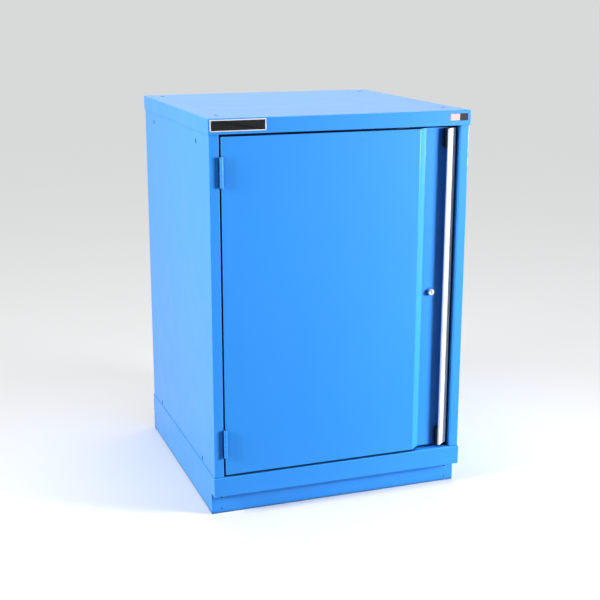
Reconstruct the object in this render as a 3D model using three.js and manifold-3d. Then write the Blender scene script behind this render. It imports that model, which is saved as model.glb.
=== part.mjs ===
// Tool locker: a folded sheet-steel cabinet on a set-back base, with one stepped door,
// a full-height pull, two knuckle hinges, a quarter-turn cam lock and two clip-in shelves.
// Millimetres. +X is right as seen from the front, +Y is to the back, +Z is up.
// The origin is at the bottom centre of the housing.
import * as THREE from "three";
import { mergeVertices } from "three/addons/utils/BufferGeometryUtils.js";
import Module from "manifold-3d";

const wasm = await Module();
wasm.setup();

// Housing
const WIDTH = 717.55;
const DEPTH = 723.9;
const HEIGHT = 1060.45;
const SHEET = 1.5;
const BEND = 1.2; // inner radius of a fold
const SEAT = 0.3; // clearance between sheets that lie on each other
const SHELL_SEAM = 0.8; // reveal between the bottom pan and the sheets that stand on it
const OVERLAP = 0.9; // how far a welded return reaches into the sheet that carries it
const CAP_FLANGE = 39.75; // height of the top pan's flanges
const CAP_LIP = 62; // depth of the lip under the top rail
const RAIL = 53.7; // height of the bottom pan's flanges
const PAN_RETURN = 30; // inward return under the bottom pan's flanges
const STILE = 26.3; // width of a front stile
const STILE_DEPTH = 40;
const STILE_FOLD = 20; // rear fold of the boxed stile
const REAR_FLANGE = 25;
const BACK_FLANGE = 18;

// Base
const BASE = 61.5; // height of the base under the bottom pan
const BASE_INSET = 0.6; // base plates behind the faces of the bottom pan
const BASE_FLANGE = 28;
const KICK_SETBACK = 31.3;
const KICK_RETURN = 36;
const REAR_KICK_RETURN = 28;
const BASE_SEAM = 1.6; // between the kick plates and the side rails
const KICK_HOLE = 4.4; // diameter
const KICK_HOLE_EDGE = 27; // hole centre to the end of the kick plate
const KICK_HOLE_HIGH = 45;
const KICK_HOLE_LOW = 13.4;

// Bolt holes for joining housings
const BOLT_HOLE = 12.7; // diameter
const SIDE_HOLE_FRONT = 126; // behind the housing's front
const SIDE_HOLE_REAR = 120; // ahead of the housing's rear
const SIDE_HOLE_TOP = 68; // below the housing's top
const SIDE_HOLE_BOTTOM = 10; // above the bottom pan
const TOP_HOLE_SIDE = 42.5;
const TOP_HOLE_FRONT = 79;
const TOP_HOLE_REAR = 62;

// Door
const DOOR_GAP_HINGE = 4.3;
const DOOR_GAP_FREE = 5;
const DOOR_GAP_TOP = 5.9;
const DOOR_GAP_BOTTOM = 6.8;
const DOOR_DEPTH = 34;
const DOOR_LIP = 16; // inward lip round the open back of the door
const STEP_WIDTH = 110.5; // from the first bend of the step to the door's free edge
const STEP_RUN = 24.5;
const STEP_DEPTH = 21.5;
const STEP_BEND = 3; // inner radius of the step's two folds
const STIFFENER_WIDTH = 60;
const STIFFENER_FOOT = 15;
const STIFFENER_PLACE = 300; // from the hinge edge of the door

// Pull handle
const PULL_WIDTH = 28.5;
const PULL_WALL = 2.2;
const PULL_BEND = 0.4;
const PULL_NOSE = 0.9; // the folded nose corner stands this far ahead of the door's face
const PULL_LIP = 9.9; // from the nose corner back to the end of the lip
const PULL_SLANT_RUN = 23;
const PULL_SLANT_DEPTH = 18.5;
const PULL_BEAD = 1.4; // crown of the bead along the pull's free edge
const PULL_FOOT = 16.5;
const PULL_END_GAP = 1.6; // below and above the ends of the door
const BLOCK_HEIGHT = 50;
const BLOCK_REACH = 4.5; // ahead of the lip, towards the hinges

// Hinges
const HINGE_LENGTH = 77.2;
const HINGE_END = 49.5; // from an end of the door to the hinge
const HINGE_PROUD = 4.2; // axis ahead of the door's face
const HINGE_SHIFT = 1.6; // axis right of the middle of the hinge gap
const BARREL = 9; // diameter
const PIN = 4.4; // diameter
const RUNNING = 0.2; // radial clearance of pins and plugs
const KNUCKLES = 5;
const KNUCKLE_GAP = 0.4;
const LEAF = 1.3;
const LEAF_SEAT = 0.25;
const LEAF_WIDTH = 30;
const LEAF_SHOULDER = 0.6; // leaf edge clear of the barrel

// Lock
const LOCK_FROM_EDGE = 60; // lock centre to the door's free edge
const LOCK_HEAD = 17.5; // diameter
const LOCK_HEAD_PROUD = 9;
const LOCK_HEAD_CHAMFER = 1;
const LOCK_BODY = 17;
const LOCK_PLUG = 14.4;
const LOCK_PLUG_PROUD = 0.4;
const LOCK_NUT = 22; // across flats
const LOCK_NUT_THICK = 4;
const KEYWAY_WIDTH = 2.2;
const KEYWAY_HEIGHT = 6.4;
const KEYWAY_DEPTH = 8;
const CAM_THICK = 2.5;
const CAM_REACH = 80;
const CAM_HUB = 18; // diameter
const CAM_TIP = 14; // width
const CAM_CLEAR = 1.5; // behind the stile's rear fold
const CAM_SCREW_HEAD = 9;
const CAM_SCREW_THICK = 3;

// Shelves
const UPRIGHT_WIDTH = 28;
const UPRIGHT_DEPTH = 14;
const UPRIGHT_FRONT = 95; // centre behind the housing's front
const UPRIGHT_REAR = 85; // centre ahead of the housing's rear
const UPRIGHT_TOP_GAP = 45;
const SLOT_FIRST = 60; // above the bottom pan
const SLOT_PITCH = 50;
const SLOT_WIDTH = 14;
const SLOT_HEIGHT = 3;
const SHELF_SLOTS = [5, 11];
const SHELF_FLANGE = 28;
const SHELF_FRONT = 66; // behind the housing's front
const SHELF_REAR = 30; // ahead of the housing's rear
const SHELF_GAP = 2; // to the uprights
const CLIP_WIDTH = 12;
const CLIP_LEDGE = 14;
const CLIP_LEG = 16;
const CLIP_HOOK = 3;

// Catch
const CATCH_WIDTH = 46;
const CATCH_DEPTH = 20;
const CATCH_HEIGHT = 20;
const CATCH_PLACE = 180; // right of the middle
const STRIKE_THICK = 1.2;
const STRIKE_MARGIN = 3;

// Facets
const FOLD_STEPS = 4;
const BEAD_STEPS = 8;
const ROUND_STEPS = 24;
const MERGE = 1e-4;

// Planes and edges that follow from the sizes above
const FRONT = -DEPTH / 2;
const REAR = DEPTH / 2;
const INSET = SHEET + SEAT;
const SIDE_X = WIDTH / 2 - INSET;
const WALL_X = SIDE_X - SHEET;
const OPENING_X = SIDE_X - STILE;
const SHELL_FRONT = FRONT + INSET;
const SHELL_REAR = REAR - INSET;
const PAN_TOP = BASE + RAIL;
const CAP_BOTTOM = HEIGHT - CAP_FLANGE;
const SHELL_LOW = PAN_TOP + SHELL_SEAM;
const SHELL_HIGH = HEIGHT - SHEET - BEND;
const STILE_BACK = SHELL_FRONT + STILE_DEPTH;
const BASE_X = WIDTH / 2 - BASE_INSET;
const BASE_TOP = BASE - SEAT;
const KICK_Y = FRONT + KICK_SETBACK;
const REAR_KICK_Y = REAR - BASE_INSET;

const DOOR_LEFT = -OPENING_X + DOOR_GAP_HINGE;
const DOOR_RIGHT = OPENING_X - DOOR_GAP_FREE;
const DOOR_LOW = PAN_TOP + DOOR_GAP_BOTTOM;
const DOOR_HIGH = CAP_BOTTOM - DOOR_GAP_TOP;
const DOOR_BACK = FRONT + DOOR_DEPTH;
const RECESS_Y = FRONT + STEP_DEPTH;
const PULL_LOW = DOOR_LOW + PULL_END_GAP;
const PULL_HIGH = DOOR_HIGH - PULL_END_GAP;
const PULL_LEFT = DOOR_RIGHT - PULL_WIDTH;
const PULL_BACK = RECESS_Y - SEAT;

const HINGE_X = (DOOR_LEFT - OPENING_X) / 2 + HINGE_SHIFT;
const HINGE_Y = FRONT - HINGE_PROUD;
const LOCK_X = DOOR_RIGHT - LOCK_FROM_EDGE;
const LOCK_Z = (DOOR_LOW + DOOR_HIGH) / 2;
const CAM_Y = STILE_BACK + CAM_CLEAR;
const UPRIGHT_X = WALL_X - SEAT - UPRIGHT_DEPTH;

// Finishes
const paint = () => new THREE.MeshStandardMaterial({ color: 0x3f97f7, roughness: 0.45, metalness: 0.1 });
const aluminium = () => new THREE.MeshStandardMaterial({ color: 0xeceded, roughness: 0.35, metalness: 1 });
const chrome = () => new THREE.MeshStandardMaterial({ color: 0xd9dbdd, roughness: 0.12, metalness: 1 });
const zinc = () => new THREE.MeshStandardMaterial({ color: 0xb4b8bc, roughness: 0.4, metalness: 1 });
const blackPlastic = () => new THREE.MeshStandardMaterial({ color: 0x0c0d10, roughness: 0.55, metalness: 0 });

// Joins and cuts
function toSolid(geometry) {
  const bare = geometry.clone();
  bare.deleteAttribute("normal");
  bare.deleteAttribute("uv");
  const merged = mergeVertices(bare, MERGE);
  const vertProperties = Float32Array.from(merged.attributes.position.array);
  const triVerts = Uint32Array.from(merged.index.array);
  return new wasm.Manifold(new wasm.Mesh({ numProp: 3, vertProperties, triVerts }));
}

function toGeometry(solid) {
  const { vertProperties, triVerts } = solid.getMesh();
  const geometry = new THREE.BufferGeometry();
  geometry.setAttribute("position", new THREE.BufferAttribute(Float32Array.from(vertProperties), 3));
  geometry.setIndex(new THREE.BufferAttribute(Uint32Array.from(triVerts), 1));
  geometry.computeVertexNormals();
  return geometry;
}

const join = (...pieces) => toGeometry(pieces.map(toSolid).reduce((whole, piece) => whole.add(piece)));
const common = (a, b) => toGeometry(toSolid(a).intersect(toSolid(b)));
const cut = (blank, ...tools) => {
  const left = tools.map(toSolid).reduce((whole, tool) => whole.subtract(tool), toSolid(blank));
  return toGeometry(left);
};

// Extrusions of an outline along one axis
function extruded(outline, low, high) {
  const settings = { depth: high - low, bevelEnabled: false, curveSegments: ROUND_STEPS / 2 };
  return new THREE.ExtrudeGeometry(outline, settings).translate(0, 0, low);
}

const alongZ = extruded;

// The outline is drawn in (y, z).
function alongX(outline, low, high) {
  const turn = new THREE.Matrix4().makeBasis(
    new THREE.Vector3(0, 1, 0),
    new THREE.Vector3(0, 0, 1),
    new THREE.Vector3(1, 0, 0),
  );
  return extruded(outline, low, high).applyMatrix4(turn);
}

// The outline is drawn in (x, z).
function alongY(outline, low, high) {
  return extruded(outline, -high, -low).rotateX(Math.PI / 2);
}

function box(lowX, highX, lowY, highY, lowZ, highZ) {
  const block = new THREE.BoxGeometry(highX - lowX, highY - lowY, highZ - lowZ);
  return block.translate((lowX + highX) / 2, (lowY + highY) / 2, (lowZ + highZ) / 2);
}

// A round bar along +Z from its own origin.
function bar(diameter, length) {
  const round = new THREE.CylinderGeometry(diameter / 2, diameter / 2, length, ROUND_STEPS);
  return round.rotateX(Math.PI / 2).translate(0, 0, length / 2);
}

const barAlongX = (diameter, low, high) => bar(diameter, high - low).rotateY(Math.PI / 2).translate(low, 0, 0);
const barAlongY = (diameter, low, high) => bar(diameter, high - low).rotateX(-Math.PI / 2).translate(0, low, 0);
const barAlongZ = (diameter, low, high) => bar(diameter, high - low).translate(0, 0, low);

const polygon = (points) => new THREE.Shape(points.map(([x, y]) => new THREE.Vector2(x, y)));

const leftOf = (heading) => new THREE.Vector2(-heading.y, heading.x);

function headingsOf(corners) {
  return corners.slice(1).map((corner, i) => corner.clone().sub(corners[i]).normalize());
}

// The two sides of a folded sheet. The points run along its dimensioned face.
// A positive sheet lies on their left, a negative one on their right.
// A third number in a point is the inner radius of its own fold.
function foldedLines(points, sheet, bend) {
  const corners = points.map(([x, y]) => new THREE.Vector2(x, y));
  const headings = headingsOf(corners);
  const thick = Math.abs(sheet);
  const face = [corners[0]];
  const back = [corners[0].clone().addScaledVector(leftOf(headings[0]), sheet)];
  for (let i = 1; i < corners.length - 1; i += 1) {
    const turn = Math.atan2(headings[i - 1].cross(headings[i]), headings[i - 1].dot(headings[i]));
    const folded = turn * sheet > 0;
    const inner = points[i][2] ?? bend;
    const faceRadius = folded ? inner + thick : inner;
    const backRadius = folded ? inner : inner + thick;
    const tangent = faceRadius * Math.tan(Math.abs(turn) / 2);
    const inward = leftOf(headings[i - 1]).multiplyScalar(Math.sign(turn));
    const centre = corners[i].clone().addScaledVector(headings[i - 1], -tangent);
    centre.addScaledVector(inward, faceRadius);
    for (let step = 0; step <= FOLD_STEPS; step += 1) {
      const spoke = inward.clone().negate();
      spoke.rotateAround(new THREE.Vector2(), (turn * step) / FOLD_STEPS);
      face.push(centre.clone().addScaledVector(spoke, faceRadius));
      back.push(centre.clone().addScaledVector(spoke, backRadius));
    }
  }
  const end = corners[corners.length - 1];
  face.push(end);
  back.push(end.clone().addScaledVector(leftOf(headings[headings.length - 1]), sheet));
  return { face, back };
}

function foldedOutline(points, sheet = SHEET) {
  const { face, back } = foldedLines(points, sheet, BEND);
  return new THREE.Shape([...face, ...back.reverse()]);
}

// A block with its four upper edges rounded, centred on the z axis.
function crownedOutline(half, low, high, radius) {
  const outline = new THREE.Shape();
  outline.moveTo(-half, low);
  outline.lineTo(half, low);
  for (let step = 0; step <= FOLD_STEPS; step += 1) {
    const angle = (Math.PI / 2) * (step / FOLD_STEPS);
    outline.lineTo(half - radius + radius * Math.cos(angle), high - radius + radius * Math.sin(angle));
  }
  for (let step = 0; step <= FOLD_STEPS; step += 1) {
    const angle = (Math.PI / 2) * (1 + step / FOLD_STEPS);
    outline.lineTo(radius - half + radius * Math.cos(angle), high - radius + radius * Math.sin(angle));
  }
  return outline;
}

function crownedBlock(width, depth, low, high, radius) {
  const across = alongY(crownedOutline(width / 2, low, high, radius), -depth / 2, depth / 2);
  const along = alongX(crownedOutline(depth / 2, low, high, radius), -width / 2, width / 2);
  return common(across, along);
}

// A pan folded down on four sides. Its cavity starts at the given floor.
function pan(width, depth, low, high, floor = low - SHEET) {
  const outside = crownedBlock(width, depth, low, high, BEND + SHEET);
  const inside = crownedBlock(width - 2 * SHEET, depth - 2 * SHEET, floor, high - SHEET, BEND);
  return cut(outside, inside);
}

function piece(name, geometry, material) {
  const mesh = new THREE.Mesh(geometry, material);
  mesh.name = name;
  return mesh;
}

// Housing
function topPan() {
  const shell = pan(WIDTH, DEPTH, CAP_BOTTOM, HEIGHT);
  const lipX = OPENING_X - SEAT;
  const lip = box(-lipX, lipX, FRONT + SHEET - OVERLAP, FRONT + CAP_LIP, CAP_BOTTOM, CAP_BOTTOM + SHEET);
  const holes = [];
  for (const x of [TOP_HOLE_SIDE - WIDTH / 2, WIDTH / 2 - TOP_HOLE_SIDE]) {
    for (const y of [FRONT + TOP_HOLE_FRONT, REAR - TOP_HOLE_REAR]) {
      holes.push(barAlongZ(BOLT_HOLE, HEIGHT - 2 * SHEET, HEIGHT + SHEET).translate(x, y, 0));
    }
  }
  return cut(join(shell, lip), ...holes);
}

function bottomPan() {
  const shell = pan(WIDTH, DEPTH, BASE, PAN_TOP, BASE + SHEET);
  const mouthX = WIDTH / 2 - PAN_RETURN;
  const mouthY = DEPTH / 2 - PAN_RETURN - KICK_SETBACK;
  return cut(shell, box(-mouthX, mouthX, -mouthY, mouthY, BASE - SHEET, BASE + 2 * SHEET));
}

// Side +1 is the right panel, -1 the left one.
function sidePanel(side) {
  const line = [
    [side * (SIDE_X - REAR_FLANGE), SHELL_REAR],
    [side * SIDE_X, SHELL_REAR],
    [side * SIDE_X, SHELL_FRONT],
    [side * OPENING_X, SHELL_FRONT],
    [side * OPENING_X, STILE_BACK],
    [side * (OPENING_X + STILE_FOLD), STILE_BACK],
  ];
  const holes = [];
  for (const y of [FRONT + SIDE_HOLE_FRONT, REAR - SIDE_HOLE_REAR]) {
    for (const z of [PAN_TOP + SIDE_HOLE_BOTTOM, HEIGHT - SIDE_HOLE_TOP]) {
      const drill = barAlongX(BOLT_HOLE, -2 * SHEET, 2 * SHEET);
      holes.push(drill.translate(side * SIDE_X, y, z));
    }
  }
  return cut(alongZ(foldedOutline(line, -side * SHEET), SHELL_LOW, SHELL_HIGH), ...holes);
}

function backPanel() {
  const halfWidth = WALL_X - SEAT;
  const face = SHELL_REAR - SHEET - SEAT;
  const line = [
    [-halfWidth, face - BACK_FLANGE],
    [-halfWidth, face],
    [halfWidth, face],
    [halfWidth, face - BACK_FLANGE],
  ];
  return alongZ(foldedOutline(line, -SHEET), SHELL_LOW, SHELL_HIGH);
}

// Base: channels with inward flanges, open to the floor in the middle.
// Facing +1 turns the plate's face to the back, -1 to the front.
function kickPlate(face, facing, sideReturn) {
  const inner = face - facing * BASE_FLANGE;
  const channel = foldedOutline([[inner, 0], [face, 0], [face, BASE_TOP], [inner, BASE_TOP]], facing * SHEET);
  const ends = [-1, 1].map((side) => {
    const xs = [side * BASE_X, side * (BASE_X - SHEET)].sort((a, b) => a - b);
    const ys = [face - facing * (BEND + SHEET), face - facing * sideReturn].sort((a, b) => a - b);
    return box(xs[0], xs[1], ys[0], ys[1], 0, BASE_TOP);
  });
  return join(alongX(channel, -BASE_X, BASE_X), ...ends);
}

function frontKickPlate() {
  const holes = [];
  for (const x of [KICK_HOLE_EDGE - BASE_X, BASE_X - KICK_HOLE_EDGE]) {
    for (const z of [KICK_HOLE_LOW, KICK_HOLE_HIGH]) {
      holes.push(barAlongY(KICK_HOLE, -2 * SHEET, 2 * SHEET).translate(x, KICK_Y, z));
    }
  }
  return cut(kickPlate(KICK_Y, -1, KICK_RETURN), ...holes);
}

function baseRail(side) {
  const face = side * BASE_X;
  const inner = side * (BASE_X - BASE_FLANGE);
  const channel = foldedOutline([[inner, 0], [face, 0], [face, BASE_TOP], [inner, BASE_TOP]], side * SHEET);
  return alongY(channel, KICK_Y + KICK_RETURN + BASE_SEAM, REAR_KICK_Y - REAR_KICK_RETURN - BASE_SEAM);
}

// Shelving
const slotHeight = (index) => PAN_TOP + SLOT_FIRST + index * SLOT_PITCH;

function shelfUpright(side) {
  const half = UPRIGHT_WIDTH / 2;
  const wall = side * (WALL_X - SEAT);
  const web = side * UPRIGHT_X;
  const line = [[wall, -half], [web, -half], [web, half], [wall, half]];
  const top = SHELL_HIGH - UPRIGHT_TOP_GAP;
  const slots = [];
  for (let index = 0; slotHeight(index) + SLOT_HEIGHT < top; index += 1) {
    const slot = new THREE.BoxGeometry(4 * SHEET, SLOT_WIDTH, SLOT_HEIGHT);
    slots.push(slot.translate(web, 0, slotHeight(index)));
  }
  return cut(alongZ(foldedOutline(line, -side * SHEET), SHELL_LOW, top), ...slots);
}

// The clip's own origin is at the middle of its slot, on the face of the upright.
// Reach +1 points its ledge to the right.
function shelfClip(reach) {
  const low = -SHEET / 2;
  const high = SHEET / 2;
  const hook = SHEET + SEAT;
  const outline = polygon([
    [-hook - SHEET, low],
    [SEAT, low],
    [SEAT, low - CLIP_LEG],
    [SEAT + SHEET, low - CLIP_LEG],
    [SEAT + SHEET, low],
    [CLIP_LEDGE, low],
    [CLIP_LEDGE, high],
    [-hook, high],
    [-hook, high + CLIP_HOOK],
    [-hook - SHEET, high + CLIP_HOOK],
  ]);
  const clip = alongY(outline, -CLIP_WIDTH / 2, CLIP_WIDTH / 2);
  return reach > 0 ? clip : clip.rotateZ(Math.PI);
}

function shelf() {
  const width = 2 * (UPRIGHT_X - SHELF_GAP);
  const depth = DEPTH - SHELF_FRONT - SHELF_REAR;
  return pan(width, depth, 0, SHELF_FLANGE);
}

// Door
function doorSkin() {
  const line = [
    [DOOR_LEFT, DOOR_BACK],
    [DOOR_LEFT, FRONT],
    [DOOR_RIGHT - STEP_WIDTH, FRONT, STEP_BEND],
    [DOOR_RIGHT - STEP_WIDTH + STEP_RUN, RECESS_Y, STEP_BEND],
    [DOOR_RIGHT, RECESS_Y],
    [DOOR_RIGHT, DOOR_BACK],
  ];
  const { face, back } = foldedLines(line, SHEET, BEND);
  const lipFront = DOOR_BACK - SHEET;
  back[0].y = lipFront;
  back[back.length - 1].y = lipFront;
  const outside = alongZ(new THREE.Shape(face), DOOR_LOW, DOOR_HIGH);
  const inside = alongZ(new THREE.Shape(back), DOOR_LOW + SHEET, DOOR_HIGH - SHEET);
  const mouth = box(
    DOOR_LEFT + DOOR_LIP,
    DOOR_RIGHT - DOOR_LIP,
    lipFront - SHEET,
    DOOR_BACK + SHEET,
    DOOR_LOW + DOOR_LIP,
    DOOR_HIGH - DOOR_LIP,
  );
  const lockHole = barAlongY(LOCK_BODY + 2 * SEAT, -2 * SHEET, 3 * SHEET).translate(LOCK_X, RECESS_Y, LOCK_Z);
  return cut(outside, inside, mouth, lockHole);
}

function doorStiffener() {
  const foot = FRONT + SHEET + SEAT;
  const crown = DOOR_BACK - SHEET - SEAT - SHEET;
  const middle = DOOR_LEFT + STIFFENER_PLACE;
  const half = STIFFENER_WIDTH / 2;
  const line = [
    [middle - half - STIFFENER_FOOT, foot],
    [middle - half, foot],
    [middle - half, crown],
    [middle + half, crown],
    [middle + half, foot],
    [middle + half + STIFFENER_FOOT, foot],
  ];
  const low = DOOR_LOW + SHEET + SEAT;
  return alongZ(foldedOutline(line), low, DOOR_HIGH - SHEET - SEAT);
}

// The pull: a lip behind a nose, a slanted face and a rounded bead, on a foot that lies on the recess.
const PULL_NOSE_Y = FRONT - PULL_NOSE;
const PULL_SLOPE = PULL_SLANT_DEPTH / PULL_SLANT_RUN;

// How deep the back of the slanted wall, moved back by a clearance, lies at x.
function behindSlant(x, clearance) {
  return PULL_NOSE_Y + (PULL_WALL + clearance) * Math.hypot(1, PULL_SLOPE) + PULL_SLOPE * (x - PULL_LEFT);
}

// Where the back of the slanted wall, moved back by a clearance, reaches y.
function slantReach(y, clearance) {
  return PULL_LEFT + (y - behindSlant(PULL_LEFT, clearance)) / PULL_SLOPE;
}

// An arc that bulges to the front, from just after its start to the far end of its chord.
function crownPoints([startX, y], chord, crown) {
  const radius = chord ** 2 / (8 * crown) + crown / 2;
  const half = Math.asin(chord / 2 / radius);
  const points = [];
  for (let step = 1; step <= BEAD_STEPS; step += 1) {
    const angle = half * ((2 * step) / BEAD_STEPS - 1);
    const reach = Math.cos(angle) - Math.cos(half);
    points.push(new THREE.Vector2(startX + chord / 2 + radius * Math.sin(angle), y - radius * reach));
  }
  return points;
}

function pullHandle() {
  const slantEnd = [PULL_LEFT + PULL_SLANT_RUN, PULL_NOSE_Y + PULL_SLANT_DEPTH];
  const line = [[PULL_LEFT, PULL_NOSE_Y + PULL_LIP], [PULL_LEFT, PULL_NOSE_Y], slantEnd];
  const { face, back } = foldedLines(line, PULL_WALL, PULL_BEND);
  const bead = crownPoints(slantEnd, DOOR_RIGHT - slantEnd[0], PULL_BEAD);
  const footTop = PULL_BACK - PULL_WALL;
  const foot = [
    [DOOR_RIGHT, PULL_BACK],
    [DOOR_RIGHT - PULL_FOOT, PULL_BACK],
    [DOOR_RIGHT - PULL_FOOT, footTop],
    [slantReach(footTop, 0), footTop],
  ].map(([x, y]) => new THREE.Vector2(x, y));
  const underside = back.slice(0, -1).reverse();
  return alongZ(new THREE.Shape([...face, ...bead, ...foot, ...underside]), PULL_LOW, PULL_HIGH);
}

// Fills the finger space behind the lip, from the recess to the slanted wall.
function handleBlock(low) {
  const lipEnd = PULL_NOSE_Y + PULL_LIP + SEAT;
  const right = DOOR_RIGHT - PULL_FOOT - SEAT;
  const outline = polygon([
    [PULL_LEFT - BLOCK_REACH, PULL_BACK],
    [right, PULL_BACK],
    [right, behindSlant(right, SEAT)],
    [slantReach(lipEnd, SEAT), lipEnd],
    [PULL_LEFT - BLOCK_REACH, lipEnd],
  ]);
  return alongZ(outline, low, low + BLOCK_HEIGHT);
}

// Hinges, about their own axis with the foot of the barrel at the origin.
function ring(outer, inner, low, high) {
  const outline = new THREE.Shape().absarc(0, 0, outer / 2, 0, 2 * Math.PI);
  outline.holes.push(new THREE.Path().absarc(0, 0, inner / 2, 0, 2 * Math.PI));
  return alongZ(outline, low, high);
}

// A leaf carries every second knuckle. Its flat spans from one x to the other.
function hingeLeaf(firstKnuckle, lowX, highX) {
  const edge = BARREL / 2 + LEAF_SHOULDER;
  const pitch = HINGE_LENGTH / KNUCKLES;
  const parts = [box(lowX, highX, edge, LEAF_WIDTH, 0, HINGE_LENGTH)];
  for (let index = firstKnuckle; index < KNUCKLES; index += 2) {
    const low = index * pitch + KNUCKLE_GAP / 2;
    const high = (index + 1) * pitch - KNUCKLE_GAP / 2;
    parts.push(box(lowX, highX, PIN / 2 + LEAF_SHOULDER, edge + OVERLAP, low, high));
    parts.push(ring(BARREL, PIN + 2 * RUNNING, low, high));
  }
  return join(...parts);
}

function hinge(name, height) {
  const group = new THREE.Group();
  group.position.set(HINGE_X, HINGE_Y, height);
  const frameX = -OPENING_X - HINGE_X + LEAF_SEAT;
  const doorX = DOOR_LEFT - HINGE_X - LEAF_SEAT;
  group.add(piece(`${name}_hinge_frame_leaf`, hingeLeaf(0, frameX, frameX + LEAF), paint()));
  group.add(piece(`${name}_hinge_door_leaf`, hingeLeaf(1, doorX - LEAF, doorX), paint()));
  group.add(piece(`${name}_hinge_pin`, barAlongZ(PIN, 0, HINGE_LENGTH), zinc()));
  return group;
}

// Lock, about its own axis, with the recess plane at y = 0 and the cam pointing up.
const CAM_PLACE = CAM_Y - RECESS_Y;
const BARREL_BACK = CAM_PLACE - SEAT;

function lockBarrel() {
  const bore = LOCK_PLUG / 2 + RUNNING;
  const head = LOCK_HEAD / 2;
  const profile = [
    [bore, -LOCK_HEAD_PROUD],
    [head - LOCK_HEAD_CHAMFER, -LOCK_HEAD_PROUD],
    [head, LOCK_HEAD_CHAMFER - LOCK_HEAD_PROUD],
    [head, -SEAT],
    [LOCK_BODY / 2, -SEAT],
    [LOCK_BODY / 2, BARREL_BACK],
    [bore, BARREL_BACK],
    [bore, -LOCK_HEAD_PROUD],
  ];
  return new THREE.LatheGeometry(profile.map(([r, y]) => new THREE.Vector2(r, y)), ROUND_STEPS);
}

function lockPlug() {
  const plug = barAlongY(LOCK_PLUG, -LOCK_HEAD_PROUD - LOCK_PLUG_PROUD, BARREL_BACK);
  const half = KEYWAY_WIDTH / 2;
  const face = -LOCK_HEAD_PROUD - LOCK_PLUG_PROUD;
  return cut(plug, box(-half, half, face - SHEET, face + KEYWAY_DEPTH, -half, KEYWAY_HEIGHT));
}

function lockNut() {
  const nut = new THREE.CylinderGeometry(LOCK_NUT / Math.sqrt(3), LOCK_NUT / Math.sqrt(3), LOCK_NUT_THICK, 6);
  nut.translate(0, SHEET + SEAT + LOCK_NUT_THICK / 2, 0);
  return cut(nut, barAlongY(LOCK_BODY + 2 * RUNNING, 0, 2 * LOCK_NUT_THICK));
}

function lockCam() {
  const hub = CAM_HUB / 2;
  const tip = CAM_TIP / 2;
  const outline = new THREE.Shape();
  outline.moveTo(-hub, 0);
  outline.absarc(0, 0, hub, Math.PI, 2 * Math.PI, false);
  outline.lineTo(tip, CAM_REACH - tip);
  outline.absarc(0, CAM_REACH - tip, tip, 0, Math.PI, false);
  return alongY(outline, CAM_PLACE, CAM_PLACE + CAM_THICK);
}

function camScrew() {
  const low = CAM_PLACE + CAM_THICK + SEAT;
  return barAlongY(CAM_SCREW_HEAD, low, low + CAM_SCREW_THICK);
}

// Catch
function magneticCatch() {
  const low = DOOR_BACK + STRIKE_THICK + 2 * SEAT;
  const left = CATCH_PLACE - CATCH_WIDTH / 2;
  const high = CAP_BOTTOM - SEAT;
  return box(left, left + CATCH_WIDTH, low, low + CATCH_DEPTH, high - CATCH_HEIGHT, high);
}

function strikePlate() {
  const left = CATCH_PLACE - CATCH_WIDTH / 2 + STRIKE_MARGIN;
  const low = DOOR_BACK + SEAT;
  const top = DOOR_HIGH - STRIKE_MARGIN / 2;
  const bottom = CAP_BOTTOM - SEAT - CATCH_HEIGHT + STRIKE_MARGIN / 2;
  return box(left, left + CATCH_WIDTH - 2 * STRIKE_MARGIN, low, low + STRIKE_THICK, bottom, top);
}

// Assembly
function housing() {
  const group = new THREE.Group();
  group.add(piece("top_pan", topPan(), paint()));
  group.add(piece("bottom_pan", bottomPan(), paint()));
  group.add(piece("left_side_panel", sidePanel(-1), paint()));
  group.add(piece("right_side_panel", sidePanel(1), paint()));
  group.add(piece("back_panel", backPanel(), paint()));
  group.add(piece("magnetic_catch", magneticCatch(), blackPlastic()));
  return group;
}

function base() {
  const group = new THREE.Group();
  group.add(piece("front_kick_plate", frontKickPlate(), paint()));
  group.add(piece("rear_kick_plate", kickPlate(REAR_KICK_Y, 1, REAR_KICK_RETURN), paint()));
  group.add(piece("base_left_rail", baseRail(-1), paint()));
  group.add(piece("base_right_rail", baseRail(1), paint()));
  return group;
}

function shelving() {
  const group = new THREE.Group();
  const shelfMiddle = (SHELF_FRONT - SHELF_REAR) / 2;
  const clipTop = SHEET / 2 + SEAT;
  SHELF_SLOTS.forEach((slot, level) => {
    const board = piece(`shelf_${level + 1}`, shelf(), paint());
    board.position.set(0, shelfMiddle, slotHeight(slot) + clipTop);
    group.add(board);
  });
  for (const [sideName, side] of [["left", -1], ["right", 1]]) {
    for (const [place, y] of [["front", FRONT + UPRIGHT_FRONT], ["rear", REAR - UPRIGHT_REAR]]) {
      const upright = piece(`shelf_upright_${sideName}_${place}`, shelfUpright(side), paint());
      upright.position.y = y;
      group.add(upright);
      SHELF_SLOTS.forEach((slot, level) => {
        const clip = piece(`shelf_clip_${level + 1}_${sideName}_${place}`, shelfClip(-side), zinc());
        clip.position.set(side * UPRIGHT_X, y, slotHeight(slot));
        group.add(clip);
      });
    }
  }
  return group;
}

function door() {
  const group = new THREE.Group();
  group.add(piece("door_skin", doorSkin(), paint()));
  group.add(piece("door_stiffener", doorStiffener(), paint()));
  group.add(piece("pull_handle", pullHandle(), aluminium()));
  group.add(piece("handle_top_block", handleBlock(PULL_HIGH - BLOCK_HEIGHT), blackPlastic()));
  group.add(piece("handle_bottom_block", handleBlock(PULL_LOW), blackPlastic()));
  group.add(piece("strike_plate", strikePlate(), zinc()));
  return group;
}

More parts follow.
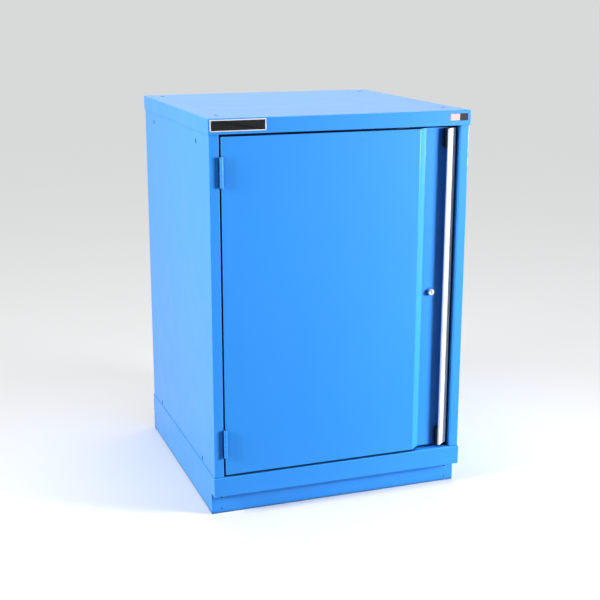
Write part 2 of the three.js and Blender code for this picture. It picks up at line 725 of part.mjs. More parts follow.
function lock() {
  const group = new THREE.Group();
  group.position.set(LOCK_X, RECESS_Y, LOCK_Z);
  group.add(piece("lock_barrel", lockBarrel(), chrome()));
  group.add(piece("lock_plug", lockPlug(), chrome()));
  group.add(piece("lock_nut", lockNut(), zinc()));
  group.add(piece("lock_cam", lockCam(), zinc()));
  group.add(piece("cam_screw", camScrew(), zinc()));
  return group;
}

const locker = new THREE.Group();
locker.add(housing());
locker.add(base());
locker.add(shelving());
locker.add(door());
locker.add(lock());
locker.add(hinge("lower", DOOR_LOW + HINGE_END));
locker.add(hinge("upper", DOOR_HIGH - HINGE_END - HINGE_LENGTH));

export default locker;
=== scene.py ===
"""Dresses a sheet-steel tool locker: finishes, small fittings and a plain studio."""
import math

import bmesh
import bpy
from bpy.props import FloatProperty, FloatVectorProperty, PointerProperty
from bpy.types import Operator, Panel, PropertyGroup
from mathutils import Matrix, Vector


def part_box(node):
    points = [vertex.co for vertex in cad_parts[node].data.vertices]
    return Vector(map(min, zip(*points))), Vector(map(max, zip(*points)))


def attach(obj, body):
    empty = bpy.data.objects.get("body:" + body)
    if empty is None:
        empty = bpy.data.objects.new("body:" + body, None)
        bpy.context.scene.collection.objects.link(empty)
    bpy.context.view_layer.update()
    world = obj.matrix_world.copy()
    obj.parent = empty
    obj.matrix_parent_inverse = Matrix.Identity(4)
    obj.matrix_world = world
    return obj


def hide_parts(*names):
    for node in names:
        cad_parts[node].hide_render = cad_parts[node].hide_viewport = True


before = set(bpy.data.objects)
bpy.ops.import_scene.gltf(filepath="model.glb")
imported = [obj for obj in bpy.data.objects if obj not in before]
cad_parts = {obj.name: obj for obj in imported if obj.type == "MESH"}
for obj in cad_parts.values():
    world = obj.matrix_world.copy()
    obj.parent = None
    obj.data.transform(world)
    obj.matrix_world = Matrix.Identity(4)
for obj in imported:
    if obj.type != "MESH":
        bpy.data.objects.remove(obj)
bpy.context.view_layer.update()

bl_info = {
    "name": "Tool Locker Dressing",
    "version": (1, 0, 0),
    "blender": (4, 5, 0),
    "location": "3D View > Sidebar > Locker",
    "description": "Finishes, small fittings and a plain studio for a sheet-steel tool locker",
    "category": "Object",
}

MM = 0.001
SHEET = 1.5 * MM
HAIR = 0.02 * MM  # keeps faces that lie on each other apart
ALIGNED = 0.99  # least cosine between directions that count as the same
DISC_SIDES = 40

# Painted shade in narrow gaps and under edges: how near a thing must be to darken the paint, and the share
# of its colour that the paint falls to
PAINTED_SHADE_REACH = 12.0 * MM
GAP_PAINTED_SHADE = 0.22

# Edges and details of the small fittings
PLATE_CORNER = 1.2 * MM
PLATE_EDGE = 0.3 * MM
FIELD_WALL = 0.25 * MM
FIELD_DEPTH = 0.35 * MM
LABEL_CORNER = 1.5 * MM
LABEL_DARK_SHARE = 0.46  # share of the width of the label
PLUG_EDGE = 0.35 * MM
BEAD_ROUNDING = 0.8  # share of the width of a bead
CATCH_CORNER = 2.0 * MM
CATCH_EDGE = 0.8 * MM
POLE_PROUD = 0.8 * MM
POLE_MARGIN = 4.0 * MM
POLE_DEPTH = 6.0 * MM
POLE_HALF = 0.9 * MM
POLE_EDGE = 0.25 * MM
POLE_HEIGHTS = (0.3, 0.7)  # shares of the height of the catch
HEAD_EDGE = 0.7 * MM
SOCKET_RIM = 1.5 * MM
SOCKET_WALL = 0.15 * MM
SOCKET_DEPTH = 1.6 * MM

# Studio, in metres apart from the sensor's millimetres
FLOOR_HALF = 1000.0
FLOOR_RETURN = 0.14  # share of its colour that the floor sends back up to the locker
SENSOR_WIDTH = 36.0
VIEW_REACH = 3000.0

CAP_LOW, CAP_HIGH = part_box("top_pan")
SIDE_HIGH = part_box("right_side_panel")[1]
PAN_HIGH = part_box("bottom_pan")[1]
BACK_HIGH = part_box("back_panel")[1]
FRONT_POST_LOW, FRONT_POST_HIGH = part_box("shelf_upright_right_front")
REAR_POST_LOW, REAR_POST_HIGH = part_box("shelf_upright_right_rear")
KICK_LOW, KICK_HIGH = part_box("front_kick_plate")
CATCH_LOW, CATCH_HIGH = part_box("magnetic_catch")
SCREW_LOW, SCREW_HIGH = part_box("cam_screw")


# Node maths

class Wire:
    """An output socket that takes part in Python arithmetic."""

    def __init__(self, graph, socket):
        self.graph = graph
        self.socket = socket

    def math(self, operation, *operands):
        values = dict(enumerate(operands))
        return self.graph.node("ShaderNodeMath", values, operation=operation)

    def __add__(self, other):
        return self.math("ADD", self, other)

    __radd__ = __add__

    def __sub__(self, other):
        return self.math("SUBTRACT", self, other)

    def __rsub__(self, other):
        return self.math("SUBTRACT", other, self)

    def __mul__(self, other):
        return self.math("MULTIPLY", self, other)

    __rmul__ = __mul__

    def __gt__(self, other):
        return self.math("GREATER_THAN", self, other)

    def __or__(self, other):
        return self.math("MAXIMUM", self, other)


class Graph:
    """A node tree that is written as expressions."""

    def __init__(self, tree):
        self.tree = tree
        tree.nodes.clear()

    def node(self, kind, values=None, output=0, **settings):
        """Adds a node, sets it up, fills or links its sockets and returns one output."""
        node = self.tree.nodes.new(kind)
        for name, setting in settings.items():
            setattr(node, name, setting)
        for key, value in (values or {}).items():
            if isinstance(value, Wire):
                self.tree.links.new(value.socket, node.inputs[key])
            else:
                node.inputs[key].default_value = value
        return Wire(self, node.outputs[output]) if node.outputs else None

    def place(self, stretch=(1, 1, 1)):
        """Object coordinates in metres, scaled along each axis."""
        spot = self.node("ShaderNodeTexCoord", output="Object")
        return self.node("ShaderNodeMapping", {"Vector": spot, "Scale": stretch})

    def noise(self, place, scale, detail=2.0):
        """Soft random values about one half."""
        return self.node("ShaderNodeTexNoise", {"Vector": place, "Scale": scale, "Detail": detail})

    def ramp(self, value, low, high):
        """A value carried from the range low to high to the range 0 to 1."""
        return self.node("ShaderNodeMapRange", {"Value": value, "From Min": low, "From Max": high})

    def mix(self, factor, first, second):
        """The first colour where factor is 0 and the second where it is 1."""
        values = {0: factor, 6: first, 7: second}
        return self.node("ShaderNodeMix", values, output=2, data_type="RGBA")

    def tones(self, factor, color, dark, light):
        """A colour that runs between two shades of itself."""
        return self.mix(factor, shade(color, dark), shade(color, light))

    def rounded(self, radius):
        """Normals that turn softly over an edge of that radius."""
        return self.node("ShaderNodeBevel", {"Radius": radius}, samples=6)

    def open_to_light(self, reach):
        """1 on open faces, falling to 0 in gaps and under edges that lie closer than reach."""
        return self.node("ShaderNodeAmbientOcclusion", {"Distance": reach}, output="AO", samples=8)

    def bump(self, height, strength, distance, normal=None):
        """Normals tilted by a height, on top of other normals where they are given."""
        values = {"Strength": strength, "Distance": distance, "Height": height}
        if normal:
            values["Normal"] = normal
        return self.node("ShaderNodeBump", values)


def finish(name, surface):
    """A material whose shader sockets are the values that surface(graph) returns."""
    made = bpy.data.materials.new(name)
    made.use_nodes = True
    graph = Graph(made.node_tree)
    shader = graph.node("ShaderNodeBsdfPrincipled", surface(graph))
    graph.node("ShaderNodeOutputMaterial", {"Surface": shader})
    return made


def shade(color, factor):
    """A colour times a factor, opaque."""
    return (*(channel * factor for channel in color[:3]), 1.0)


# Finishes

def powder_paint(color, peel):
    """Glossy powder coat: an even colour, a slow drift of tone and a fine orange peel, with painted shade
    that darkens the colour and thins the coat in gaps and under edges.
    """
    def surface(graph):
        spot = graph.place()
        drift = graph.noise(spot, scale=2.5, detail=1.0)
        orange_peel = graph.noise(spot, scale=620.0)
        haze = graph.noise(spot, scale=14.0, detail=3.0)
        coat = graph.tones(drift, color, dark=0.96, light=1.04)
        # Painted shade: the colour falls dark and the coat thins where other faces lie close, in gaps and
        # under edges.
        free_of_painted_shade = graph.ramp(graph.open_to_light(PAINTED_SHADE_REACH), low=0.34, high=0.94)
        edges = graph.rounded(radius=0.9 * MM)
        return {
            "Base Color": graph.mix(free_of_painted_shade, shade(color, GAP_PAINTED_SHADE), coat),
            "Roughness": 0.45 + 0.12 * haze,
            "Normal": graph.bump(orange_peel, strength=peel, distance=0.12 * MM, normal=edges),
            "Specular IOR Level": 0.25,
            "Coat Weight": 0.5 * free_of_painted_shade,
            "Coat Roughness": 0.22,
        }
    return finish("blue_powder_paint", surface)


def drawn_aluminium(name, color, edge):
    """Bright anodised metal with faint lines along its length and edges of that radius."""
    def surface(graph):
        lines = graph.noise(graph.place(stretch=(1, 1, 0.012)), scale=1800.0, detail=3.0)
        streak = graph.noise(graph.place(stretch=(1, 1, 0.05)), scale=160.0)
        edges = graph.rounded(radius=edge)
        return {
            "Base Color": graph.tones(streak, color, dark=0.96, light=1.0),
            "Metallic": 0.5,
            "Roughness": 0.4 + 0.16 * lines,
            "Normal": graph.bump(lines, strength=0.1, distance=0.05 * MM, normal=edges),
        }
    return finish(name, surface)


def polished_chrome(color):
    """Plated lock face with light handling haze."""
    def surface(graph):
        haze = graph.noise(graph.place(), scale=300.0, detail=3.0)
        edges = graph.rounded(radius=0.35 * MM)
        return {
            "Base Color": graph.tones(haze, color, dark=0.94, light=1.0),
            "Metallic": 0.7,
            "Roughness": 0.32 + 0.12 * haze,
            "Normal": graph.bump(haze, strength=0.04, distance=0.05 * MM, normal=edges),
        }
    return finish("lock_chrome_plate", surface)


def zinc_plating(color):
    """Zinc plating with a cloudy passivation and a fine grain."""
    def surface(graph):
        cloud = graph.noise(graph.place(), scale=90.0, detail=4.0)
        grain = graph.noise(graph.place(), scale=1500.0)
        edges = graph.rounded(radius=0.25 * MM)
        return {
            "Base Color": graph.tones(cloud, color, dark=0.8, light=1.08),
            "Metallic": 1.0,
            "Roughness": 0.28 + 0.22 * cloud,
            "Normal": graph.bump(grain, strength=0.15, distance=0.05 * MM, normal=edges),
        }
    return finish("zinc_plated_steel", surface)


def moulded_plastic(color):
    """Black moulded plastic with a fine spark-eroded grain."""
    def surface(graph):
        grain = graph.noise(graph.place(), scale=1900.0)
        wear = graph.noise(graph.place(), scale=35.0, detail=3.0)
        edges = graph.rounded(radius=0.4 * MM)
        return {
            "Base Color": graph.tones(wear, color, dark=0.8, light=1.5),
            "Roughness": 0.45 + 0.2 * wear,
            "Normal": graph.bump(grain, strength=0.25, distance=0.08 * MM, normal=edges),
        }
    return finish("black_moulded_plastic", surface)


def enamel_field(color):
    """Dark enamel of the bare name plate, over brushed metal."""
    def surface(graph):
        brushed = graph.noise(graph.place(stretch=(0.02, 1, 1)), scale=2400.0)
        pool = graph.noise(graph.place(), scale=60.0)
        return {
            "Base Color": graph.tones(pool, color, dark=0.8, light=1.3),
            "Roughness": 0.26 + 0.14 * brushed,
            "Normal": graph.bump(brushed, strength=0.05, distance=0.04 * MM),
        }
    return finish("dark_enamel_field", surface)


def printed_label(pale, dark, middle):
    """A blank two-tone label: pale on its left half, dark on its right, with a dark rim."""
    def surface(graph):
        spot = graph.node("ShaderNodeTexCoord", output="Object")
        across = graph.node("ShaderNodeSeparateXYZ", {"Vector": spot}, output="X")
        fibre = graph.noise(graph.place(), scale=1400.0, detail=3.0)
        paper = graph.tones(fibre, pale, dark=0.93, light=1.0)
        right_half = across > middle
        rim = graph.node("ShaderNodeAttribute", output="Fac", attribute_name="rim")
        return {
            "Base Color": graph.mix(right_half | (rim > 0.5), paper, shade(dark, 1.0)),
            "Roughness": 0.38 + 0.12 * fibre,
            "Specular IOR Level": 0.25,
            "Normal": graph.bump(fibre, strength=0.06, distance=0.03 * MM),
        }
    return finish("blank_two_tone_label", surface)


# Shaping

def block(mesh, low, high):
    """A six-sided block between two corners."""
    low = Vector(low)
    high = Vector(high)
    matrix = Matrix.Translation((low + high) / 2) @ Matrix.Diagonal((*(high - low), 1.0))
    made = bmesh.ops.create_cube(mesh, size=1.0, matrix=matrix)
    return made["verts"]


def soften(mesh, edges, width, segments=2):
    """Rounds edges off."""
    bmesh.ops.bevel(
        mesh,
        geom=list(edges),
        offset=width,
        offset_type="OFFSET",
        affect="EDGES",
        segments=segments,
        profile=0.5,
        material=-1,
    )


def edges_along(verts, axis):
    """The edges between these vertices that run along one axis."""
    chosen = dict.fromkeys(edge for vert in verts for edge in vert.link_edges)
    headings = {edge: (edge.verts[1].co - edge.verts[0].co).normalized() for edge in chosen}
    return [edge for edge in chosen if abs(headings[edge][axis]) > ALIGNED]


def face_towards(faces, direction):
    """The largest of the faces that point that way."""
    facing = [face for face in faces if face.normal.dot(Vector(direction)) > ALIGNED]
    return max(facing, key=lambda face: face.calc_area())


def disc(mesh, radius, depth, place, direction):
    """A round plate whose outer face lies at place and points along direction."""
    direction = Vector(direction)
    turn = direction.to_track_quat("Z", "Y").to_matrix().to_4x4()
    matrix = Matrix.Translation(Vector(place) - direction * depth / 2) @ turn
    made = bmesh.ops.create_cone(
        mesh,
        cap_ends=True,
        segments=DISC_SIDES,
        radius1=radius,
        radius2=radius,
        depth=depth,
        matrix=matrix,
    )
    return made["verts"]


def faces_of(verts):
    """The faces that meet at these vertices."""
    return list(dict.fromkeys(face for vert in verts for face in vert.link_faces))


def settle(name, mesh, body, slot, *materials):
    """Turns a bmesh into a finished piece that rides on a body."""
    data = bpy.data.meshes.new(name)
    mesh.to_mesh(data)
    mesh.free()
    for coat in materials:
        data.materials.append(coat)
    piece = bpy.data.objects.new(name, data)
    bpy.context.scene.collection.objects.link(piece)
    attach(piece, body)
    return piece


def material(name):
    """A finish made earlier, or an error that names it."""
    found = bpy.data.materials.get(name)
    if found is None:
        raise RuntimeError(f"make the finishes first: {name} is missing")
    return found


# Settings

def length(name, description, millimetres):
    """A setting for a length, given in millimetres."""
    return FloatProperty(
        name=name,
        description=description,
        default=millimetres * MM,
        unit="LENGTH",
        precision=4,
    )


def share(name, description, default):
    """A setting between 0 and 1."""
    return FloatProperty(
        name=name,
        description=description,
        default=default,
        min=0.0,
        max=1.0,
        subtype="FACTOR",
    )


def power(name, description, watts):
    """A setting for a lamp's power."""
    return FloatProperty(name=name, description=description, default=watts, unit="POWER")


def tint(name, description, color):
    """A setting for a colour."""
    return FloatVectorProperty(
        name=name,
        description=description,
        default=color,
        size=3,
        min=0.0,
        max=1.0,
        subtype="COLOR",
    )


class LockerFinishSettings(PropertyGroup):
    """Colours and grain of the finishes"""

    paint: tint("Paint", "Colour of the powder coat", (0.03, 0.31, 0.96))
    aluminium: tint("Aluminium", "Colour of the pull", (0.93, 0.935, 0.94))
    chrome: tint("Chrome", "Colour of the lock", (0.95, 0.955, 0.96))
    zinc: tint("Zinc", "Colour of clips, pins and cam", (0.6, 0.62, 0.63))
    plastic: tint("Plastic", "Colour of the black mouldings", (0.008, 0.009, 0.011))
    enamel: tint("Enamel", "Colour of the plate's field", (0.012, 0.0125, 0.014))
    paper: tint("Paper", "Pale half of the label", (0.66, 0.53, 0.54))
    ink: tint("Ink", "Dark half of the label", (0.012, 0.012, 0.014))
    orange_peel: share("Orange peel", "Strength of the paint's fine ripple", 0.1)


class LockerFittingSettings(PropertyGroup):
    """Sizes and places of the small fittings"""

    plate_inset: length("Plate inset", "From the left end of the top rail to the plate", 4.3)
    plate_rise: length("Plate rise", "From the lower edge of the top rail to the plate", 6.8)
    plate_width: length("Plate width", "Width of the name plate", 145.5)
    plate_height: length("Plate height", "Height of the name plate", 29.5)
    plate_thickness: length("Plate thickness", "Thickness of the name plate", 1.0)
    plate_rim: length("Plate rim", "Width of the bright rim", 2.2)
    label_inset: length("Label inset", "From the right end of the top rail to the label", 8.0)
    label_rise: length("Label rise", "From the lower edge of the top rail to the label", 12.6)
    label_width: length("Label width", "Width of the label", 51.8)
    label_height: length("Label height", "Height of the label", 18.7)
    label_thickness: length("Label thickness", "Thickness of the label", 0.15)
    label_rim: length("Label rim", "Width of the label's dark rim", 1.0)
    plug_radius: length("Plug radius", "Radius of the blanking discs behind the bolt holes", 9.5)
    plug_thickness: length("Plug thickness", "Thickness of the blanking discs", 1.2)
    side_hole_front: length("Side hole, front", "From the housing's front to the first side hole", 126.0)
    side_hole_rear: length("Side hole, rear", "From the housing's rear to the second side hole", 120.0)
    side_hole_top: length("Side hole, top", "From the housing's top to the upper side holes", 68.0)
    side_hole_bottom: length("Side hole, bottom", "From the bottom pan to the lower side holes", 10.0)
    top_hole_side: length("Top hole, side", "From the housing's side to a top hole", 42.5)
    top_hole_front: length("Top hole, front", "From the housing's front to the front top holes", 79.0)
    top_hole_rear: length("Top hole, rear", "From the housing's rear to the rear top holes", 62.0)
    # The kick plate's discs are black painted shade behind its holes.
    kick_shade_disc_radius: length("Kick plug radius", "Radius of the discs behind the kick plate's holes", 4.5)
    kick_hole_end: length("Kick hole, end", "From the end of the kick plate to a hole", 27.0)
    kick_hole_low: length("Kick hole, low", "From the floor to the lower holes of the kick plate", 13.4)
    kick_hole_high: length("Kick hole, high", "From the floor to the upper holes of the kick plate", 45.0)
    bead_width: length("Bead width", "Width of the sealer at the feet of the panels", 4.0)
    bead_start: length("Bead start", "From the housing's front to the sealer along the sides", 44.0)


class LockerStudioSettings(PropertyGroup):
    """Camera, lights, room and floor"""

    camera_place: FloatVectorProperty(
        name="Camera place",
        description="Where the camera stands",
        default=(-1.1052, -3.1185, 1.3515),
        subtype="TRANSLATION",
        unit="LENGTH",
    )
    camera_turn: FloatVectorProperty(
        name="Camera turn",
        description="How the camera is turned",
        default=tuple(math.radians(angle) for angle in (75.301, -0.09, -19.656)),
        subtype="EULER",
        unit="ROTATION",
    )
    lens: FloatProperty(
        name="Lens",
        description="Focal length on a 36 mm wide sensor",
        default=69.69,
        min=1.0,
        unit="CAMERA",
    )
    key: power("Key", "Power of the front light", 185.0)
    side: power("Side", "Power of the side light", 142.0)
    top: power("Top", "Power of the light overhead", 50.0)
    room: share("Room", "Strength of the even light of the room", 0.02)
    front_wall: share("Front wall", "Brightness of the room behind the camera as it shows in gloss", 0.15)
    backdrop: share("Backdrop", "Brightness of the room behind the object", 0.7)
    floor: tint("Floor", "Colour of the floor", (0.86, 0.865, 0.87))
    floor_glow: share("Floor glow", "How much of the floor's brightness doesn't depend on the lights", 0.8)


# Operators

# Nodes by finish. The rest is zinc plated.
COATS = {
    "blue_powder_paint": (
        "top_pan", "bottom_pan", "left_side_panel", "right_side_panel", "back_panel",
        "front_kick_plate", "rear_kick_plate", "base_left_rail", "base_right_rail",
        "shelf_1", "shelf_2", "shelf_upright_left_front", "shelf_upright_left_rear",
        "shelf_upright_right_front", "shelf_upright_right_rear", "door_skin", "door_stiffener",
        "upper_hinge_frame_leaf", "upper_hinge_door_leaf",
        "lower_hinge_frame_leaf", "lower_hinge_door_leaf",
    ),
    "lock_chrome_plate": ("lock_barrel", "lock_plug"),
    "black_moulded_plastic": ("handle_top_block", "handle_bottom_block", "magnetic_catch"),
    "bright_anodised_pull": ("pull_handle",),
}


class LOCKER_OT_finishes(Operator):
    """Make the finishes and put one on every node of the frame"""
    bl_idname = "locker.finishes"
    bl_label = "Finishes"

    def execute(self, context):
        settings = context.scene.locker_finish
        fitting = context.scene.locker_fitting
        powder_paint(settings.paint, settings.orange_peel)
        drawn_aluminium("bright_anodised_pull", settings.aluminium, edge=2.5 * MM)
        drawn_aluminium("bright_anodised_plate", settings.aluminium, edge=0.3 * MM)
        polished_chrome(settings.chrome)
        zinc_plating(settings.zinc)
        moulded_plastic(settings.plastic)
        enamel_field(settings.enamel)
        middle = CAP_HIGH[0] - fitting.label_inset - fitting.label_width * LABEL_DARK_SHARE
        printed_label(settings.paper, settings.ink, middle)
        coat_of = {name: coat for coat, names in COATS.items() for name in names}
        for name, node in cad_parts.items():
            coat = material(coat_of.get(name, "zinc_plated_steel"))
            for place in node.material_slots:
                place.material = coat
        return {"FINISHED"}


class LOCKER_OT_name_plate(Operator):
    """Add the bare name plate at the left of the top rail"""
    bl_idname = "locker.name_plate"
    bl_label = "Name plate"

    def execute(self, context):
        settings = context.scene.locker_fitting
        left = CAP_LOW[0] + settings.plate_inset
        low = CAP_LOW[2] + settings.plate_rise
        back = CAP_LOW[1] - HAIR
        mesh = bmesh.new()
        verts = block(
            mesh,
            (left, back - settings.plate_thickness, low),
            (left + settings.plate_width, back, low + settings.plate_height),
        )
        soften(mesh, edges_along(verts, 1), PLATE_CORNER, segments=4)
        front = face_towards(mesh.faces, (0, -1, 0))
        soften(mesh, front.edges, PLATE_EDGE)
        front = face_towards(mesh.faces, (0, -1, 0))
        bmesh.ops.inset_region(mesh, faces=[front], thickness=settings.plate_rim, depth=0.0)
        bmesh.ops.inset_region(mesh, faces=[front], thickness=FIELD_WALL, depth=-FIELD_DEPTH)
        front.material_index = 1
        settle(
            "name_plate",
            mesh,
            "housing",
            "bright_aluminium",
            material("bright_anodised_plate"),
            material("dark_enamel_field"),
        )
        return {"FINISHED"}


class LOCKER_OT_blank_label(Operator):
    """Add the blank label at the right of the top rail"""
    bl_idname = "locker.blank_label"
    bl_label = "Blank label"

    def execute(self, context):
        settings = context.scene.locker_fitting
        right = CAP_HIGH[0] - settings.label_inset
        low = CAP_LOW[2] + settings.label_rise
        back = CAP_LOW[1] - HAIR
        mesh = bmesh.new()
        verts = block(
            mesh,
            (right - settings.label_width, back - settings.label_thickness, low),
            (right, back, low + settings.label_height),
        )
        soften(mesh, edges_along(verts, 1), LABEL_CORNER, segments=4)
        front = face_towards(mesh.faces, (0, -1, 0))
        bmesh.ops.inset_region(mesh, faces=[front], thickness=settings.label_rim, depth=0.0)
        rim = mesh.verts.layers.float.new("rim")
        inner = set(front.verts)
        for vert in mesh.verts:
            vert[rim] = 0.0 if vert in inner else 1.0
        settle("blank_label", mesh, "housing", "black_plastic", material("blank_two_tone_label"))
        return {"FINISHED"}


class LOCKER_OT_hole_plugs(Operator):
    """Close the bolt holes in the sides and the top with blanking discs, and put black discs behind the
    kick plate's holes as painted shade
    """
    bl_idname = "locker.hole_plugs"
    bl_label = "Hole plugs"

    def execute(self, context):
        settings = context.scene.locker_fitting
        mesh = bmesh.new()
        inside = SIDE_HIGH[0] - SHEET - HAIR
        for side in (-1, 1):
            for y in (CAP_LOW[1] + settings.side_hole_front, CAP_HIGH[1] - settings.side_hole_rear):
                for z in (PAN_HIGH[2] + settings.side_hole_bottom, CAP_HIGH[2] - settings.side_hole_top):
                    self.plug(mesh, settings, settings.plug_radius, (side * inside, y, z), (side, 0, 0))
        under = CAP_HIGH[2] - SHEET - HAIR
        for x in (CAP_LOW[0] + settings.top_hole_side, CAP_HIGH[0] - settings.top_hole_side):
            for y in (CAP_LOW[1] + settings.top_hole_front, CAP_HIGH[1] - settings.top_hole_rear):
                self.plug(mesh, settings, settings.plug_radius, (x, y, under), (0, 0, 1))
        settle("hole_plugs", mesh, "housing", "blue_paint", material("blue_powder_paint"))

        # Black discs behind the kick plate's holes: painted shade, dark where the open holes would show
        # only shade.
        mesh = bmesh.new()
        behind = KICK_LOW[1] + SHEET + HAIR
        for x in (KICK_LOW[0] + settings.kick_hole_end, KICK_HIGH[0] - settings.kick_hole_end):
            for z in (KICK_LOW[2] + settings.kick_hole_low, KICK_LOW[2] + settings.kick_hole_high):
                self.plug(mesh, settings, settings.kick_shade_disc_radius, (x, behind, z), (0, -1, 0))
        settle("kick_hole_shade_discs", mesh, "housing", "black_plastic", material("black_moulded_plastic"))
        return {"FINISHED"}

    def plug(self, mesh, settings, radius, place, direction):
        """One disc with its face behind a hole and its hidden edge rounded off."""
        verts = disc(mesh, radius, settings.plug_thickness, place, direction)
        inner = face_towards(faces_of(verts), -Vector(direction))
        soften(mesh, inner.edges, PLUG_EDGE)


class LOCKER_OT_seam_bead(Operator):
    """Add the beads of sealer along the feet of the back and side panels"""
    bl_idname = "locker.seam_bead"
    bl_label = "Seam bead"

    def execute(self, context):
        settings = context.scene.locker_fitting
        width = settings.bead_width
        foot = PAN_HIGH[2] + HAIR
        end = BACK_HIGH[0] - 2 * SHEET
        back = BACK_HIGH[1] - SHEET - HAIR
        mesh = bmesh.new()
        self.bead(mesh, width, (-end, back - width, foot), (end, back, foot + width), (0, -1, 1))
        wall = SIDE_HIGH[0] - SHEET - HAIR
        flange = BACK_HIGH[0] - SHEET - HAIR
        runs = (
            (wall, CAP_LOW[1] + settings.bead_start, FRONT_POST_LOW[1] - HAIR),
            (wall, FRONT_POST_HIGH[1] + HAIR, REAR_POST_LOW[1] - HAIR),
            (flange, REAR_POST_HIGH[1] + HAIR, back - width - HAIR),
        )
        for side in (-1, 1):
            for face, start, stop in runs:
                left, right = sorted((side * face, side * (face - width)))
                self.bead(mesh, width, (left, start, foot), (right, stop, foot + width), (-side, 0, 1))
        settle("seam_bead", mesh, "housing", "blue_paint", material("blue_powder_paint"))
        return {"FINISHED"}

    def bead(self, mesh, width, low, high, away):
        """A strip in a corner, rounded off along the edge that points away from it."""
        away = Vector(away)
        verts = block(mesh, low, high)
        far = max(vert.co.dot(away) for vert in verts)
        first, second = (vert for vert in verts if vert.co.dot(away) > far - HAIR)
        free = [edge for edge in first.link_edges if edge.other_vert(first) == second]
        soften(mesh, free, width * BEAD_ROUNDING, segments=4)


class LOCKER_OT_catch(Operator):
    """Add the magnetic catch with its pole plates"""
    bl_idname = "locker.catch"
    bl_label = "Catch"

    def execute(self, context):
        low = Vector(CATCH_LOW)
        high = Vector(CATCH_HIGH)
        mesh = bmesh.new()
        verts = block(mesh, low + Vector((0, POLE_PROUD, 0)), high)
        soften(mesh, edges_along(verts, 2), CATCH_CORNER, segments=4)
        under = face_towards(mesh.faces, (0, 0, -1))
        soften(mesh, under.edges, CATCH_EDGE)
        case = settle("catch_case", mesh, "housing", "black_plastic", material("black_moulded_plastic"))
        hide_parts("magnetic_catch")

        mesh = bmesh.new()
        for height in POLE_HEIGHTS:
            z = low.z + height * (high.z - low.z)
            verts = block(
                mesh,
                (low.x + POLE_MARGIN, low.y, z - POLE_HALF),
                (high.x - POLE_MARGIN, low.y + POLE_DEPTH, z + POLE_HALF),
            )
            soften(mesh, edges_along(verts, 0), POLE_EDGE)
        settle("catch_pole_plates", mesh, "housing", "zinc_plate", material("zinc_plated_steel"))
        return {"FINISHED"}


class LOCKER_OT_cam_screw(Operator):
    """Add the socket screw that holds the lock's cam"""
    bl_idname = "locker.cam_screw"
    bl_label = "Cam screw"

    def execute(self, context):
        low = Vector(SCREW_LOW)
        high = Vector(SCREW_HIGH)
        middle = (low + high) / 2
        mesh = bmesh.new()
        verts = disc(
            mesh,
            (high.x - low.x) / 2,
            high.y - low.y,
            (middle.x, high.y, middle.z),
            (0, 1, 0),
        )
        head = face_towards(faces_of(verts), (0, 1, 0))
        soften(mesh, head.edges, HEAD_EDGE, segments=4)
        head = face_towards(mesh.faces, (0, 1, 0))
        bmesh.ops.inset_region(mesh, faces=[head], thickness=SOCKET_RIM, depth=0.0)
        bmesh.ops.inset_region(mesh, faces=[head], thickness=SOCKET_WALL, depth=-SOCKET_DEPTH)
        screw = settle("cam_screw_head", mesh, "lock", "zinc_plate", material("zinc_plated_steel"))
        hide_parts("cam_screw")
        return {"FINISHED"}


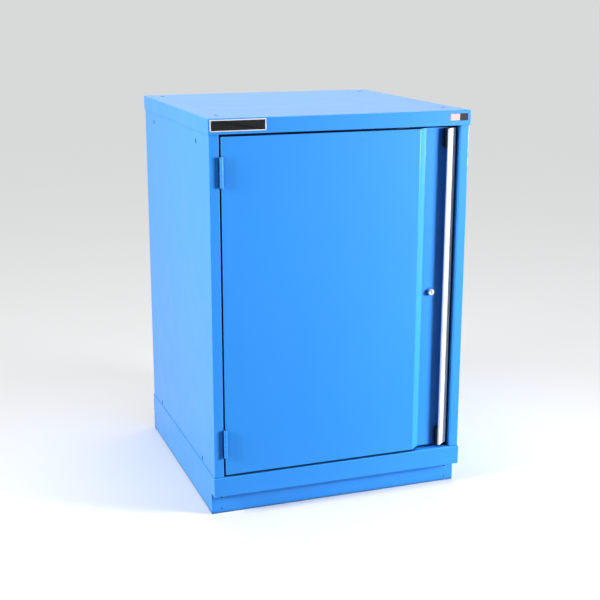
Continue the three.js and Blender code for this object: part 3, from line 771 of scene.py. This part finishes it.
class LOCKER_OT_studio(Operator):
    """Set up the floor, the soft lights and the camera"""
    bl_idname = "locker.studio"
    bl_label = "Studio"

    def execute(self, context):
        scene = context.scene
        settings = scene.locker_studio
        scene.view_settings.view_transform = "Standard"
        self.floor(scene, settings)
        self.room(scene, settings)
        self.softbox(
            scene, "key_light", settings.key,
            place=(2.62, -2.045, 1.05), target=(0.1, -0.36, 0.4), size=(0.8, 1.0),
        )
        self.softbox(
            scene, "side_light", settings.side,
            place=(-3.2, -0.72, 1.6), target=(-0.36, -0.1, 0.7), size=(0.8, 1.4),
        )
        self.softbox(
            scene, "top_light", settings.top,
            place=(0.2, 0.5, 3.0), target=(0.0, 0.1, 1.06), size=(1.8, 1.8),
        )
        self.camera(scene, settings)
        return {"FINISHED"}

    def floor(self, scene, settings):
        """A pale floor that keeps the shadow and sends little light back up."""
        pale_floor = bpy.data.materials.new("pale_floor")
        pale_floor.use_nodes = True
        graph = Graph(pale_floor.node_tree)
        mottle = graph.noise(graph.place(), scale=1.5, detail=3.0)
        pale = graph.tones(mottle, settings.floor, dark=0.985, light=1.0)
        lit = graph.node("ShaderNodeBsdfDiffuse", {"Color": pale})
        glow = graph.node("ShaderNodeEmission", {"Color": pale})
        spot = graph.node("ShaderNodeTexCoord", output="Object")
        reach = graph.node("ShaderNodeVectorMath", {0: spot}, output="Value", operation="LENGTH")
        open_floor = graph.ramp(reach, low=0.55, high=1.4)
        bright = graph.node("ShaderNodeMixShader", {0: settings.floor_glow * open_floor, 1: lit, 2: glow})
        dim = graph.node("ShaderNodeBsdfDiffuse", {"Color": shade(settings.floor, FLOOR_RETURN)})
        rearward = graph.node("ShaderNodeSeparateXYZ", {"Vector": spot}, output="Y")
        direct, glossy = self.rays(graph)
        shown = direct | glossy * graph.ramp(rearward, low=-0.9, high=-0.3)
        shader = graph.node("ShaderNodeMixShader", {0: shown, 1: dim, 2: bright})
        graph.node("ShaderNodeOutputMaterial", {"Surface": shader})
        mesh = bmesh.new()
        bmesh.ops.create_grid(mesh, x_segments=1, y_segments=1, size=FLOOR_HALF)
        data = bpy.data.meshes.new("floor")
        mesh.to_mesh(data)
        mesh.free()
        data.materials.append(pale_floor)
        floor = bpy.data.objects.new("floor", data)
        scene.collection.objects.link(floor)

    def rays(self, graph):
        """Masks of the rays that show a thing itself, and of those that show it in gloss."""
        camera = graph.node("ShaderNodeLightPath", output="Is Camera Ray")
        through = graph.node("ShaderNodeLightPath", output="Is Transmission Ray")
        glossy = graph.node("ShaderNodeLightPath", output="Is Glossy Ray")
        return camera | through, glossy

    def room(self, scene, settings):
        """A room that shows pale behind the locker and adds little light of its own."""
        world = bpy.data.worlds.new("studio_room")
        world.use_nodes = True
        scene.world = world
        graph = Graph(world.node_tree)
        heading = graph.node("ShaderNodeTexCoord", output="Generated")
        rearward = graph.node("ShaderNodeSeparateXYZ", {"Vector": heading}, output="Y")
        rear_wall = graph.ramp(rearward, low=-0.35, high=0.15)
        wall = settings.front_wall + (1.0 - settings.front_wall) * rear_wall
        direct, glossy = self.rays(graph)
        strength = settings.backdrop * direct | wall * glossy | settings.room
        sky = graph.node("ShaderNodeBackground", {"Color": (1.0, 1.0, 1.0, 1.0), "Strength": strength})
        graph.node("ShaderNodeOutputWorld", {"Surface": sky})

    def softbox(self, scene, name, watts, place, target, size):
        """A soft rectangular light that faces its target."""
        lamp = bpy.data.lights.new(name, "AREA")
        lamp.shape = "RECTANGLE"
        lamp.size, lamp.size_y = size
        lamp.energy = watts
        light = bpy.data.objects.new(name, lamp)
        light.location = place
        light.rotation_euler = (Vector(target) - Vector(place)).to_track_quat("-Z", "Y").to_euler()
        scene.collection.objects.link(light)

    def camera(self, scene, settings):
        """The camera, with everything in focus."""
        data = bpy.data.cameras.new("camera")
        data.sensor_width = SENSOR_WIDTH
        data.lens = settings.lens
        data.clip_end = VIEW_REACH
        camera = bpy.data.objects.new("camera", data)
        camera.location = settings.camera_place
        camera.rotation_euler = settings.camera_turn
        scene.collection.objects.link(camera)
        scene.camera = camera


class LOCKER_PT_dressing(Panel):
    """The locker's operators and settings"""
    bl_idname = "LOCKER_PT_dressing"
    bl_label = "Tool locker"
    bl_space_type = "VIEW_3D"
    bl_region_type = "UI"
    bl_category = "Locker"

    def draw(self, context):
        for operator in OPERATORS:
            self.layout.operator(operator.bl_idname)
        for setting in SETTINGS:
            group = getattr(context.scene, setting)
            column = self.layout.column()
            for name in group.bl_rna.properties.keys():
                if name not in {"rna_type", "name"}:
                    column.prop(group, name)


SETTINGS = {
    "locker_finish": LockerFinishSettings,
    "locker_fitting": LockerFittingSettings,
    "locker_studio": LockerStudioSettings,
}
OPERATORS = (
    LOCKER_OT_finishes,
    LOCKER_OT_name_plate,
    LOCKER_OT_blank_label,
    LOCKER_OT_hole_plugs,
    LOCKER_OT_seam_bead,
    LOCKER_OT_catch,
    LOCKER_OT_cam_screw,
    LOCKER_OT_studio,
)
CLASSES = (*SETTINGS.values(), *OPERATORS, LOCKER_PT_dressing)


def register():
    for cls in CLASSES:
        bpy.utils.register_class(cls)
    for name, group in SETTINGS.items():
        setattr(bpy.types.Scene, name, PointerProperty(type=group))


def unregister():
    for name in SETTINGS:
        delattr(bpy.types.Scene, name)
    for cls in reversed(CLASSES):
        bpy.utils.unregister_class(cls)


def main():
    register()
    bpy.ops.locker.finishes()
    bpy.ops.locker.name_plate()
    bpy.ops.locker.blank_label()
    bpy.ops.locker.hole_plugs()
    bpy.ops.locker.seam_bead()
    bpy.ops.locker.catch()
    bpy.ops.locker.cam_screw()
    bpy.ops.locker.studio()


if __name__ == "__main__":
    main()
